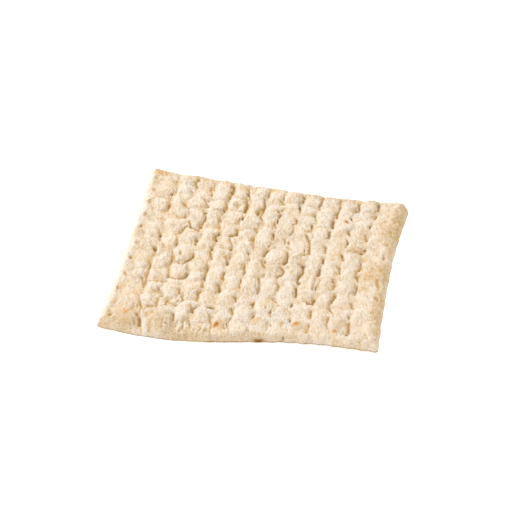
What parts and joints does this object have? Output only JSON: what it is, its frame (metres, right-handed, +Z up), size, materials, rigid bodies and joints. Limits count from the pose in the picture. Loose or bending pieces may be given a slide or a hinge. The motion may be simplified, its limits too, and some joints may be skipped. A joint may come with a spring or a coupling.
{
  "type": "flatbread",
  "caption": "Soft, nearly square sheet of flat bread, docked with staggered holes between rows of puffed knobs and dusted with flour, for serving, tearing or topping.",
  "frame": {"origin": "middle of the bread's outline, on the surface that it lies on", "axes": "+X along the longer side, across the columns of holes; +Y from the front edge to the back edge, along the columns; +Z up through its thickness"},
  "size_m": [0.2024, 0.1951, 0.0106],
  "materials": {
    "baked_dough": "matt pale baked dough dusted with flour"
  },
  "bodies": {
    "root": {"flatbread": "baked_dough"}
  },
  "joints": []
}
